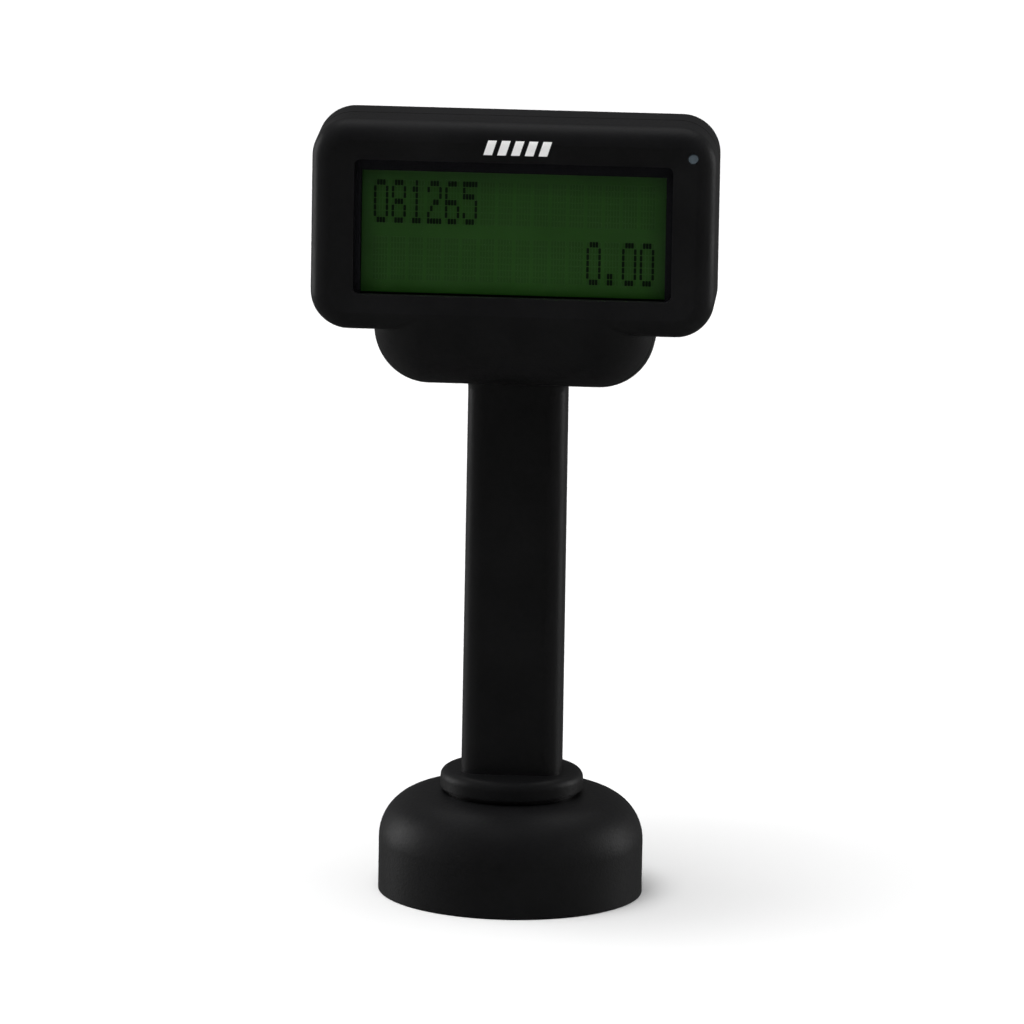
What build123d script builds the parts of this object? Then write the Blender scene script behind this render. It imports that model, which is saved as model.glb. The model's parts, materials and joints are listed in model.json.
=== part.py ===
from build123d import *
import os

# Customer pole display: a small liquid-crystal readout on a short pole that turns on its base.
# Millimetres, +Z up. The display faces -Y, and +X is on the right of someone who reads it.
# The origin is the centre of the base's underside, on the swivel axis.
os.makedirs("parts", exist_ok=True)

# ---------------------------------------------------------------- head: driving dimensions
HEAD_WIDTH = 75.0
HEAD_HEIGHT = 39.6
HEAD_DEPTH = 20.0
HEAD_CORNER = 7.2
HEAD_Z = 132.0  # height of the head's centre
FACE_Y = -29.0  # the face stands in front of the pole
FACE_ROUND = 3.6
REAR_ROUND = 3.0
WALL = 2.0
REAR_Y = FACE_Y + HEAD_DEPTH
PARTING_Y = FACE_Y + HEAD_DEPTH / 2

WINDOW_WIDTH = 59.0
WINDOW_HEIGHT = 25.4
WINDOW_CORNER = 1.2
WINDOW_Z = HEAD_Z - 0.2
DISH_DEPTH = 0.8  # the frame slopes in towards the window by this much
DISH_MARGIN = 3.6
SEAM = 0.35  # width and depth of the groove where the two shells meet

# ---------------------------------------------------------------- hinge pod under the head
POD_BOTTOM_Z = 100.2
POD_HALF_WIDTH = 26.2
POD_REAR_RADIUS = 11.0
POD_SIDE_ROUND = 10.4
TILT_Z = POD_BOTTOM_Z + POD_REAR_RADIUS
CHIN_TOP_Z = HEAD_Z - HEAD_HEIGHT / 2 + FACE_ROUND
CHIN_RADIUS = CHIN_TOP_Z - POD_BOTTOM_Z
CHIN_Y = FACE_Y + CHIN_RADIUS

# ---------------------------------------------------------------- pole and neck
POLE_WIDTH = 18.6
POLE_FOOT_WIDTH = 18.8
POLE_DEPTH = 13.0
POLE_FOOT_DEPTH = 13.6
POLE_CORNER = 3.5
CHANNEL_WIDTH = 12.8
CHANNEL_DEPTH = 9.4
CHANNEL_CORNER = 0.5
SHOULDER_Z = 97.2
SHOULDER_WIDTH = 21.6
FLARE_STEPS = ((0.0, 0.0), (0.35, 0.12), (0.7, 0.45), (1.0, 1.0))  # share of its height, share of its growth
CHEEK_RADIUS = 8.4
CHEEK_INNER = CHANNEL_WIDTH / 2
CHEEK_OUTER = SHOULDER_WIDTH / 2
SLOT_GAP = 0.5
SLOT_HALF = CHEEK_OUTER + SLOT_GAP
SLOT_FRONT_Y = -9.3
SLOT_TOP_Z = 109.8
CHEEK_GAP_Z = 103.0  # above this the cheeks stand apart
CABLE_COVER_WIDTH = 10.4
CABLE_COVER_BOTTOM = 32.0
CABLE_COVER_TOP = 90.0
SNAP_HOOK_Z = (40.0, 61.0, 82.0)
SNAP_HOOK_LENGTH = 5.0
SNAP_STEM_AT = 4.6
SNAP_STEM = 1.0
SNAP_STEM_REACH = 2.2
SNAP_BARB_AT = 5.4
SNAP_BARB = 1.2
SNAP_BARB_REACH = 1.6
FIT_GAP = 0.1

# ---------------------------------------------------------------- base and swivel
BASE_RADIUS = 25.0
BASE_HEIGHT = 19.0
BASE_ROUND = 9.0
BASE_WALL = 2.0
BASE_PLATE_THICKNESS = 1.2
HUB_RADIUS = 12.0
BUSH_RADIUS = 10.0
BUSH_FLANGE_RADIUS = 12.5
BUSH_FLANGE = 0.9
BUSH_END_Z = 13.0
RUNNING_GAP = 0.05
SPIGOT_RADIUS = 8.0
SPIGOT_BORE = 5.5
SPIGOT_END_Z = 9.6
SWIVEL_SPRING_HEIGHT = 1.1
SWIVEL_SPRING_RADIUS = 10.8
SWIVEL_SPRING_SHEET = 0.35
STOP_WASHER_THICKNESS = 0.7
STOP_WASHER_RADIUS = 10.4
STOP_TAB_RADIUS = 13.4
STOP_TAB_WIDTH = 3.6
STOP_POST_AT = 12.4
STOP_POST_RADIUS = 1.2
STOP_POST_END_Z = 10.8
RING_THICKNESS = 0.8
RING_GROOVE_RADIUS = 7.3
RING_RADIUS = 9.6
RING_LUG_AT = 8.8
RING_LUG_WIDTH = 6.0
RING_LUG_DEPTH = 3.2
RING_MOUTH_AT = 9.0
RING_MOUTH_WIDTH = 2.0
RING_MOUTH_DEPTH = 8.0
RING_HOLE_X = 2.0
RING_HOLE_Y = 9.2
RING_HOLE_RADIUS = 0.5
SPIGOT_FLAT = 7.2  # half the distance across the spigot's flats
COLLAR_RADIUS = 13.5
COLLAR_HEIGHT = 3.6
COLLAR_ROUND = 1.6
COLLAR_Z = BASE_HEIGHT + BUSH_FLANGE
COLLAR_TOP_Z = COLLAR_Z + COLLAR_HEIGHT
MOUNT_PCD = 36.0
MOUNT_BOSS_RADIUS = 3.0
MOUNT_THREAD_RADIUS = 1.25
INSERT_RADIUS = 2.2
INSERT_LENGTH = 6.0
PLATE_SCREW_AT = 20.0
PLATE_SCREW_HEAD = 2.15
PLATE_SCREW_HEAD_HEIGHT = 1.1
PLATE_SCREW_SHANK = 1.0
PLATE_SCREW_LENGTH = 7.5
PLATE_BOSS_RADIUS = 2.6
JACK_WIDTH = 15.0
JACK_DEPTH = 11.0
JACK_HEIGHT = 8.6
JACK_MOUTH_WIDTH = 11.8
JACK_MOUTH_DEPTH = 6.8
JACK_MOUTH_HEIGHT = 7.8
LATCH_WIDTH = 6.0
LATCH_DEPTH = 2.4
LATCH_HEIGHT = 5.0
CONTACT_PITCH = 1.02
CONTACT_RADIUS = 0.25
CONTACT_Z = 6.4
LEAD_TAIL_END_Z = 12.0

SPRING_END_Z = BUSH_END_Z - SWIVEL_SPRING_HEIGHT
STOP_WASHER_Z = SPRING_END_Z - STOP_WASHER_THICKNESS
RING_Z = STOP_WASHER_Z - RING_THICKNESS

# ---------------------------------------------------------------- what the head holds
TAPE = 0.3
LENS_WIDTH = 61.0
LENS_HEIGHT = 28.6
LENS_THICKNESS = 1.5
GASKET = 0.5
CELL_FRAME_WIDTH = 60.2
CELL_FRAME_HEIGHT = 29.4
SHEET = 0.4
GLASS = 1.1
POLARISER = 0.2
GLASS_WIDTH = 58.8
FRONT_GLASS_HEIGHT = 28.0
REAR_GLASS_HEIGHT = 25.2
STRIP_THICKNESS = 1.0
STRIP_LENGTH = 54.0
STRIP_GAP = 0.75  # from the rear glass's edge to the middle of a strip
PCB_THICKNESS = 1.6
PCB_WIDTH = 69.6
PCB_BOTTOM_Z = 115.2
PCB_TOP_Z = 148.6
PCB_CORNER = 4.4
CELL_Z = WINDOW_Z - 1.0
VIEW_WIDTH = 56.5
VIEW_HEIGHT = 23.8
VIEW_Z = WINDOW_Z - 1.4
LED_X = 33.2
LED_Z = 146.3
LED_WIDTH = 1.6
LED_HEIGHT = 0.8
LED_DEPTH = 0.7
LIGHT_PIPE_RADIUS = 1.0
LIGHT_PIPE_ROUND = 0.35

LENS_Y = FACE_Y + WALL + TAPE
GASKET_Y = LENS_Y + LENS_THICKNESS
CELL_Y = GASKET_Y + GASKET
FRONT_POLARISER_Y = CELL_Y + SHEET
FRONT_GLASS_Y = FRONT_POLARISER_Y + POLARISER
REAR_GLASS_Y = FRONT_GLASS_Y + GLASS
REAR_POLARISER_Y = REAR_GLASS_Y + GLASS
BACKLIGHT_Y = REAR_POLARISER_Y + POLARISER
BACKLIGHT_THICKNESS = 2.8
PCB_Y = BACKLIGHT_Y + BACKLIGHT_THICKNESS
PCB_REAR_Y = PCB_Y + PCB_THICKNESS

BOSS_X = 32.8
HOUSING_SCREW_Z = (117.4, 142.6)
PCB_SCREW_Z = (125.2, 135.6)
BOSS_RADIUS = 2.1
BOSS_NOTCH = BOSS_RADIUS + 0.3
# screws: head radius, head height, shank radius and length
HOUSING_SCREW = (2.1, 1.5, 1.0, 11.5)
BOARD_SCREW = (1.6, 1.1, 0.75, 6.0)
BRACKET_SCREW = (2.3, 1.5, 1.0, 4.2)
HOUSING_PILOT_DEPTH = 7.0
PCB_PILOT_DEPTH = 6.0
HOUSING_PILOT = 1.05
PCB_PILOT = 0.8
SCREW_SEAT_Y = -13.5
SCREW_SEAT_THICKNESS = 1.2
WELL_RADIUS = 3.6
WELL_BORE = 2.35
SCREW_CLEARANCE = 1.25
VENT_X = 21.4
VENT_Z = 141.0
VENT_LENGTH = 9.0
VENT_WIDTH = 1.5
VENT_PITCH = 3.2
VENT_COUNT = 5

BRACKET = 1.5
BRACKET_PAD = 2.0
BRACKET_PAD_RADIUS = 3.0
BRACKET_HOLE = 1.3
BRACKET_REAR_Y = REAR_Y - WALL - BRACKET_PAD
BRACKET_FRONT_Y = BRACKET_REAR_Y - BRACKET
BRACKET_TOP_Z = 142.0
BRACKET_BOTTOM_Z = 130.5
BRACKET_SCREW_X = 8.0
BRACKET_SCREW_Z = 137.5
EAR_INNER = SLOT_HALF
EAR_OUTER = EAR_INNER + BRACKET
EAR_RADIUS = 5.0
EAR_ROOT_Z = 118.0
PIN_RADIUS = 2.0
PIN_HEAD_RADIUS = 3.2
PIN_HEAD = 1.2
PIN_NECK_RADIUS = 1.5
PIN_END = 5.0
TILT_SPRING_SHEET = 0.3
CLIP_THICKNESS = 0.5
CLIP_RADIUS = 3.4

HEADER_Z = 124.0
HEADER_WIDTH = 13.0
HEADER_HEIGHT = 6.4
HEADER_DEPTH = 5.0
HEADER_WALL = 1.0
HEADER_FLOOR = 1.2
PLUG_GAP = 0.1
PLUG_START = 1.4
PLUG_REAR_Y = -8.6
LEAD_RADIUS = 1.4

CHIP_X = 20.0
CHIP_SIZE = 9.0
CHIP_THICKNESS = 1.5
CHIP_LEGS = 8
LEG_PITCH = 1.0
LEG_LENGTH = 1.6
LEG_WIDTH = 0.4
TAB_X = (-20.0, 0.0, 20.0)
TAB_WIDTH = 2.0
TAB_FOLD = 2.0


# ---------------------------------------------------------------- helpers
def facing(y, z=HEAD_Z, x=0.0):
    """A plane that looks towards the reader at depth y: its x is +X and its y is +Z."""
    return Plane(origin=(x, y, z), x_dir=(1, 0, 0), z_dir=(0, -1, 0))


def backing(y, z=HEAD_Z, x=0.0):
    """A plane that looks away from the reader at depth y: its x is -X and its y is +Z."""
    return Plane(origin=(x, y, z), x_dir=(-1, 0, 0), z_dir=(0, 1, 0))


def across(x, y=0.0, z=TILT_Z):
    """A plane that looks along +X: its x is +Y and its y is +Z."""
    return Plane(origin=(x, y, z), x_dir=(0, 1, 0), z_dir=(1, 0, 0))


def save(builder, label):
    builder.part.label = label
    export_step(builder.part, f"parts/{label}.step")


def both_sides(x, zs):
    """The same heights on the left and the right."""
    return [(side * x, z) for side in (-1, 1) for z in zs]


def cross_screw(head_radius, head_height, shank_radius, length):
    """A round-headed cross-slot screw: its head above the origin, its shank down -Z."""
    with BuildPart() as screw:
        Cylinder(head_radius, head_height, align=(Align.CENTER, Align.CENTER, Align.MIN))
        fillet(screw.edges().sort_by(Axis.Z)[-1], head_height * 0.55)
        with BuildSketch(Plane.XY.offset(head_height * 0.45)):
            Rectangle(head_radius * 1.2, head_radius * 0.26)
            Rectangle(head_radius * 0.26, head_radius * 1.2)
        extrude(amount=head_height, mode=Mode.SUBTRACT)
        Cylinder(shank_radius, length, align=(Align.CENTER, Align.CENTER, Align.MAX))
        chamfer(screw.edges().sort_by(Axis.Z)[0], shank_radius * 0.3)
    return screw.part


def countersunk_screw(head_radius, head_height, shank_radius, length):
    """A flat-headed cross-slot screw: its flat top at the origin, its shank down -Z."""
    with BuildPart() as screw:
        with Locations((0, 0, -head_height)):
            Cone(shank_radius, head_radius, head_height, align=(Align.CENTER, Align.CENTER, Align.MIN))
        Cylinder(shank_radius, length, align=(Align.CENTER, Align.CENTER, Align.MAX))
        with BuildSketch(Plane.XY.offset(-head_height * 0.6)):
            Rectangle(head_radius * 1.2, head_radius * 0.24)
            Rectangle(head_radius * 0.24, head_radius * 1.2)
        extrude(amount=head_height, mode=Mode.SUBTRACT)
    return screw.part


def disc_spring(inner, outer, thickness, height):
    """A conical spring washer on the Z axis: its outer rim at the origin, its inner rim at the height."""
    with BuildPart() as spring:
        with BuildSketch(Plane.XZ):
            Polygon(
                (outer, 0),
                (outer, thickness),
                (inner, height),
                (inner, height - thickness),
                align=None,
            )
        revolve(axis=Axis.Z)
    return spring.part


# ---------------------------------------------------------------- housing forms
def head_form(inset):
    """The head's rounded block, inset from its outer skin."""
    with BuildPart() as form:
        with BuildSketch(facing(FACE_Y + inset)):
            RectangleRounded(
                HEAD_WIDTH - 2 * inset, HEAD_HEIGHT - 2 * inset, HEAD_CORNER - inset
            )
        extrude(amount=-(HEAD_DEPTH - 2 * inset))
        fillet(form.faces().sort_by(Axis.Y)[0].edges(), FACE_ROUND - inset)
        fillet(form.faces().sort_by(Axis.Y)[-1].edges(), REAR_ROUND - inset)
    return form.part


def pod_form(inset):
    """The pod that carries the tilt hinge: a belt round the chin's arc and the hinge's arc."""
    with BuildPart() as form:
        with BuildSketch(across(-(POD_HALF_WIDTH - inset), 0, 0)) as profile:
            with Locations((CHIN_Y, CHIN_TOP_Z)):
                Circle(CHIN_RADIUS - inset)
            with Locations((0, TILT_Z)):
                Circle(POD_REAR_RADIUS - inset)
            make_hull(profile.edges())
        extrude(amount=2 * (POD_HALF_WIDTH - inset))
        ends = form.faces().group_by(Axis.X)
        fillet(ends[0].edges() + ends[-1].edges(), POD_SIDE_ROUND - inset)
    return form.part


def housing_shell():
    """Head and pod as one hollow skin, before it is parted into its two shells."""
    outer = [head_form(0), pod_form(0)]
    inner = [head_form(WALL), pod_form(WALL)]
    with BuildPart() as shell:
        add(outer)
        add(inner, mode=Mode.SUBTRACT)
    return shell.part


def seam_groove():
    """The groove round the line where the front and rear shells meet."""
    outer = [head_form(0), pod_form(0)]
    inner = [head_form(SEAM), pod_form(SEAM)]
    with BuildPart() as groove:
        add(outer)
        add(inner, mode=Mode.SUBTRACT)
        with BuildSketch(facing(PARTING_Y + SEAM / 2)):
            Rectangle(2 * HEAD_WIDTH, 3 * HEAD_HEIGHT)
        extrude(amount=SEAM, mode=Mode.INTERSECT)
    return groove.part


def base_form(inset):
    """The foot's domed block, inset from its outer skin and open at the bottom."""
    with BuildPart() as form:
        Cylinder(BASE_RADIUS - inset, BASE_HEIGHT - inset, align=(Align.CENTER, Align.CENTER, Align.MIN))
        fillet(form.edges().sort_by(Axis.Z)[-1], BASE_ROUND - inset)
    return form.part


def pole_form():
    """The pole's outside, from the collar to the flare under the pod, with a slight draft."""
    with BuildPart() as form:
        with BuildSketch(Plane.XY.offset(COLLAR_TOP_Z - 0.5)):
            RectangleRounded(POLE_FOOT_WIDTH, POLE_FOOT_DEPTH, POLE_CORNER)
        with BuildSketch(Plane.XY.offset(SHOULDER_Z)):
            RectangleRounded(POLE_WIDTH, POLE_DEPTH, POLE_CORNER)
        loft()
    return form.part


SHELL = housing_shell()
GROOVE = seam_groove()
HOUSING_SPOTS = both_sides(BOSS_X, HOUSING_SCREW_Z)
BOARD_SPOTS = both_sides(BOSS_X, PCB_SCREW_Z)
BRACKET_SPOTS = both_sides(BRACKET_SCREW_X, (BRACKET_SCREW_Z,))

# ================================================================ base
# Domed foot: hub for the bush, four threaded mounting bosses, two bosses for its plate, and the swivel stop.
with BuildPart() as base_posts:
    with PolarLocations(MOUNT_PCD / 2, 4, start_angle=45):
        Cylinder(MOUNT_BOSS_RADIUS, BASE_HEIGHT, align=(Align.CENTER, Align.CENTER, Align.MIN))
    with PolarLocations(PLATE_SCREW_AT, 2):
        with Locations((0, 0, BASE_PLATE_THICKNESS)):
            Cylinder(PLATE_BOSS_RADIUS, BASE_HEIGHT, align=(Align.CENTER, Align.CENTER, Align.MIN))
    with Locations((0, 0, BUSH_END_Z)):
        Cylinder(HUB_RADIUS, BASE_HEIGHT, align=(Align.CENTER, Align.CENTER, Align.MIN))
    with Locations((0, -STOP_POST_AT, STOP_POST_END_Z)):
        Cylinder(STOP_POST_RADIUS, BASE_HEIGHT, align=(Align.CENTER, Align.CENTER, Align.MIN))
    add(base_form(BASE_WALL / 2), mode=Mode.INTERSECT)

with BuildPart() as base_housing:
    add(base_form(0))
    add(base_form(BASE_WALL), mode=Mode.SUBTRACT)
    add(base_posts.part)
    Cylinder(BUSH_RADIUS, 3 * BASE_HEIGHT, mode=Mode.SUBTRACT)
    with PolarLocations(MOUNT_PCD / 2, 4, start_angle=45):
        Cylinder(INSERT_RADIUS, 2 * INSERT_LENGTH, mode=Mode.SUBTRACT)
        Cylinder(MOUNT_THREAD_RADIUS, 3 * INSERT_LENGTH, mode=Mode.SUBTRACT)
    with PolarLocations(PLATE_SCREW_AT, 2):
        Cylinder(HOUSING_PILOT, 2 * PLATE_SCREW_LENGTH + 1.0, mode=Mode.SUBTRACT)
save(base_housing, "base_housing")

# Brass inserts whose threads take the screws that hold the foot down.
with BuildPart() as mount_inserts:
    with PolarLocations(MOUNT_PCD / 2, 4, start_angle=45):
        Cylinder(INSERT_RADIUS, INSERT_LENGTH, align=(Align.CENTER, Align.CENTER, Align.MIN))
        Cylinder(MOUNT_THREAD_RADIUS, 3 * INSERT_LENGTH, mode=Mode.SUBTRACT)
save(mount_inserts, "mount_inserts")

# Steel plate that closes the foot, pierced for the mounting bosses and the jack.
with BuildPart() as base_plate:
    Cylinder(
        BASE_RADIUS - BASE_WALL - FIT_GAP,
        BASE_PLATE_THICKNESS,
        align=(Align.CENTER, Align.CENTER, Align.MIN),
    )
    with PolarLocations(MOUNT_PCD / 2, 4, start_angle=45):
        Cylinder(MOUNT_BOSS_RADIUS + FIT_GAP, BASE_HEIGHT, mode=Mode.SUBTRACT)
    Box(JACK_WIDTH + 2 * FIT_GAP, JACK_DEPTH + 2 * FIT_GAP, BASE_HEIGHT, mode=Mode.SUBTRACT)
    with PolarLocations(PLATE_SCREW_AT, 2):
        Cone(
            PLATE_SCREW_HEAD + 2 * FIT_GAP,
            PLATE_SCREW_SHANK + FIT_GAP,
            BASE_PLATE_THICKNESS,
            align=(Align.CENTER, Align.CENTER, Align.MIN),
            mode=Mode.SUBTRACT,
        )
save(base_plate, "base_plate")

with BuildPart() as base_plate_screws:
    for x in (-PLATE_SCREW_AT, PLATE_SCREW_AT):
        with Locations(Plane(origin=(x, 0, RUNNING_GAP), z_dir=(0, 0, -1))):
            add(
                countersunk_screw(
                    PLATE_SCREW_HEAD, PLATE_SCREW_HEAD_HEIGHT, PLATE_SCREW_SHANK, PLATE_SCREW_LENGTH
                )
            )
save(base_plate_screws, "base_plate_screws")

# Flanged bush that the pole's spigot turns in.
with BuildPart() as swivel_bush:
    with Locations((0, 0, BUSH_END_Z)):
        Cylinder(BUSH_RADIUS, BASE_HEIGHT - BUSH_END_Z, align=(Align.CENTER, Align.CENTER, Align.MIN))
    with Locations((0, 0, BASE_HEIGHT)):
        Cylinder(BUSH_FLANGE_RADIUS, BUSH_FLANGE, align=(Align.CENTER, Align.CENTER, Align.MIN))
    Cylinder(SPIGOT_RADIUS + RUNNING_GAP, 3 * BASE_HEIGHT, mode=Mode.SUBTRACT)
save(swivel_bush, "swivel_bush")

# Modular jack in the plate, its mouth downwards, and its eight spring contacts.
with BuildPart() as base_connector:
    Box(JACK_WIDTH, JACK_DEPTH, JACK_HEIGHT, align=(Align.CENTER, Align.CENTER, Align.MIN))
    Box(JACK_MOUTH_WIDTH, JACK_MOUTH_DEPTH, 2 * JACK_MOUTH_HEIGHT, mode=Mode.SUBTRACT)
    with Locations((0, JACK_MOUTH_DEPTH / 2, 0)):
        Box(LATCH_WIDTH, LATCH_DEPTH, 2 * LATCH_HEIGHT, mode=Mode.SUBTRACT)
save(base_connector, "base_connector")

with BuildPart() as jack_contacts:
    with BuildSketch(Plane.XZ.offset(-JACK_MOUTH_DEPTH / 2)):
        with GridLocations(CONTACT_PITCH, 1, 8, 1):
            with Locations((0, CONTACT_Z)):
                Circle(CONTACT_RADIUS)
    extrude(amount=JACK_MOUTH_DEPTH)
save(jack_contacts, "jack_contacts")

# The lead's fixed end, on the swivel axis.
with BuildPart() as lead_tail:
    with BuildSketch(Plane.XY.offset(JACK_HEIGHT)):
        Circle(LEAD_RADIUS)
    extrude(amount=LEAD_TAIL_END_Z - JACK_HEIGHT)
save(lead_tail, "lead_tail")

# ================================================================ pole
# Moulded column: spigot and collar below, a rear channel for the lead, and two cheeks for the tilt hinge.
with BuildPart() as pole_column:
    with Locations((0, 0, SPIGOT_END_Z)):
        Cylinder(SPIGOT_RADIUS, COLLAR_Z - SPIGOT_END_Z, align=(Align.CENTER, Align.CENTER, Align.MIN))
    with Locations((0, 0, COLLAR_Z)):
        Cylinder(COLLAR_RADIUS, COLLAR_HEIGHT, align=(Align.CENTER, Align.CENTER, Align.MIN))
    fillet(pole_column.edges().sort_by(Axis.Z)[-1], COLLAR_ROUND)
    add(pole_form())
    for rise, growth in FLARE_STEPS:
        with BuildSketch(Plane.XY.offset(SHOULDER_Z + rise * (POD_BOTTOM_Z - SHOULDER_Z))):
            flare_width = POLE_WIDTH + growth * (SHOULDER_WIDTH - POLE_WIDTH)
            RectangleRounded(flare_width, POLE_DEPTH, POLE_CORNER)
    loft()
    with BuildSketch(Plane.XY.offset(POD_BOTTOM_Z)):
        RectangleRounded(SHOULDER_WIDTH, POLE_DEPTH, POLE_CORNER)
    extrude(amount=CHEEK_GAP_Z + 2.0 - POD_BOTTOM_Z)
    with BuildSketch(across(-CHEEK_OUTER)):
        Circle(CHEEK_RADIUS)
    extrude(amount=SHOULDER_WIDTH)
    # the channel, the gap between the cheeks and the bore of the spigot
    with BuildSketch(Plane.XY.offset(COLLAR_TOP_Z)):
        RectangleRounded(CHANNEL_WIDTH, CHANNEL_DEPTH, CHANNEL_CORNER)
    extrude(amount=CHEEK_GAP_Z - COLLAR_TOP_Z + 1.0, mode=Mode.SUBTRACT)
    with Locations((0, 0, CHEEK_GAP_Z)):
        Box(
            CHANNEL_WIDTH,
            4 * CHEEK_RADIUS,
            4 * CHEEK_RADIUS,
            align=(Align.CENTER, Align.CENTER, Align.MIN),
            mode=Mode.SUBTRACT,
        )
    Cylinder(SPIGOT_BORE, 2 * COLLAR_TOP_Z + 1.0, mode=Mode.SUBTRACT)
    # the opening that the cover closes
    with Locations((0, CHANNEL_DEPTH / 2 - 1.0, CABLE_COVER_BOTTOM)):
        Box(
            CABLE_COVER_WIDTH,
            POLE_DEPTH,
            CABLE_COVER_TOP - CABLE_COVER_BOTTOM,
            align=(Align.CENTER, Align.MIN, Align.MIN),
            mode=Mode.SUBTRACT,
        )
    # the pin holes, the ring's groove and the flats that key the stop washer
    with BuildSketch(across(-2 * CHEEK_OUTER)):
        Circle(PIN_RADIUS + RUNNING_GAP)
    extrude(amount=4 * CHEEK_OUTER, mode=Mode.SUBTRACT)
    with BuildSketch(Plane.XY.offset(RING_Z)):
        Circle(SPIGOT_RADIUS + 1)
        Circle(RING_GROOVE_RADIUS, mode=Mode.SUBTRACT)
    extrude(amount=RING_THICKNESS, mode=Mode.SUBTRACT)
    for side in (-1, 1):
        with Locations((side * SPIGOT_FLAT, 0, SPIGOT_END_Z)):
            Box(
                4,
                2 * SPIGOT_RADIUS,
                SPRING_END_Z - SPIGOT_END_Z,
                align=(Align.MIN if side > 0 else Align.MAX, Align.CENTER, Align.MIN),
                mode=Mode.SUBTRACT,
            )
save(pole_column, "pole_column")

# Cover strip of the channel, with snap hooks behind the column's lips.
with BuildPart() as cable_cover:
    add(pole_form())
    with Locations((0, CHANNEL_DEPTH / 2 + FIT_GAP, CABLE_COVER_BOTTOM + FIT_GAP)):
        Box(
            CABLE_COVER_WIDTH - 2 * FIT_GAP,
            POLE_DEPTH,
            CABLE_COVER_TOP - CABLE_COVER_BOTTOM - 2 * FIT_GAP,
            align=(Align.CENTER, Align.MIN, Align.MIN),
            mode=Mode.INTERSECT,
        )
    for z in SNAP_HOOK_Z:
        for side in (-1, 1):
            with Locations((side * SNAP_STEM_AT, CHANNEL_DEPTH / 2 + 0.5, z)):
                Box(SNAP_STEM, SNAP_STEM_REACH, SNAP_HOOK_LENGTH, align=(Align.CENTER, Align.MAX, Align.CENTER))
            with Locations((side * SNAP_BARB_AT, CHANNEL_DEPTH / 2 - FIT_GAP, z)):
                Box(SNAP_BARB, SNAP_BARB_REACH, SNAP_HOOK_LENGTH, align=(Align.CENTER, Align.MAX, Align.CENTER))
save(cable_cover, "cable_cover")

# Swivel stack under the bush: conical spring, keyed stop washer and retaining ring.
with BuildPart() as swivel_spring:
    with Locations(Plane(origin=(0, 0, BUSH_END_Z), z_dir=(0, 0, -1))):
        add(
            disc_spring(
                SPIGOT_RADIUS + 2 * FIT_GAP, SWIVEL_SPRING_RADIUS, SWIVEL_SPRING_SHEET, SWIVEL_SPRING_HEIGHT
            )
        )
save(swivel_spring, "swivel_spring")

with BuildPart() as stop_washer:
    with BuildSketch(Plane.XY.offset(STOP_WASHER_Z)):
        Circle(STOP_WASHER_RADIUS)
        with Locations((0, STOP_TAB_RADIUS / 2)):
            Rectangle(STOP_TAB_WIDTH, STOP_TAB_RADIUS)
        with BuildSketch(mode=Mode.PRIVATE) as keyhole:
            Circle(SPIGOT_RADIUS + FIT_GAP)
            Rectangle(2 * (SPIGOT_FLAT + FIT_GAP), 4 * SPIGOT_RADIUS, mode=Mode.INTERSECT)
        add(keyhole.sketch, mode=Mode.SUBTRACT)
    extrude(amount=STOP_WASHER_THICKNESS)
save(stop_washer, "stop_washer")

with BuildPart() as retaining_ring:
    with BuildSketch(Plane.XY.offset(RING_Z)):
        Circle(RING_RADIUS)
        with Locations((0, RING_LUG_AT)):
            Rectangle(RING_LUG_WIDTH, RING_LUG_DEPTH)
        Circle(RING_GROOVE_RADIUS, mode=Mode.SUBTRACT)
        with Locations((0, RING_MOUTH_AT)):
            Rectangle(RING_MOUTH_WIDTH, RING_MOUTH_DEPTH, mode=Mode.SUBTRACT)
        with Locations((-RING_HOLE_X, RING_HOLE_Y), (RING_HOLE_X, RING_HOLE_Y)):
            Circle(RING_HOLE_RADIUS, mode=Mode.SUBTRACT)
    extrude(amount=RING_THICKNESS)
save(retaining_ring, "retaining_ring")

# The lead in the pole, from the swivel axis to just under the tilt axis.
with BuildPart() as pole_lead:
    with BuildSketch(Plane.XY.offset(LEAD_TAIL_END_Z)):
        Circle(LEAD_RADIUS)
    extrude(amount=TILT_Z - LEAD_RADIUS - LEAD_TAIL_END_Z)
save(pole_lead, "pole_lead")

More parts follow.
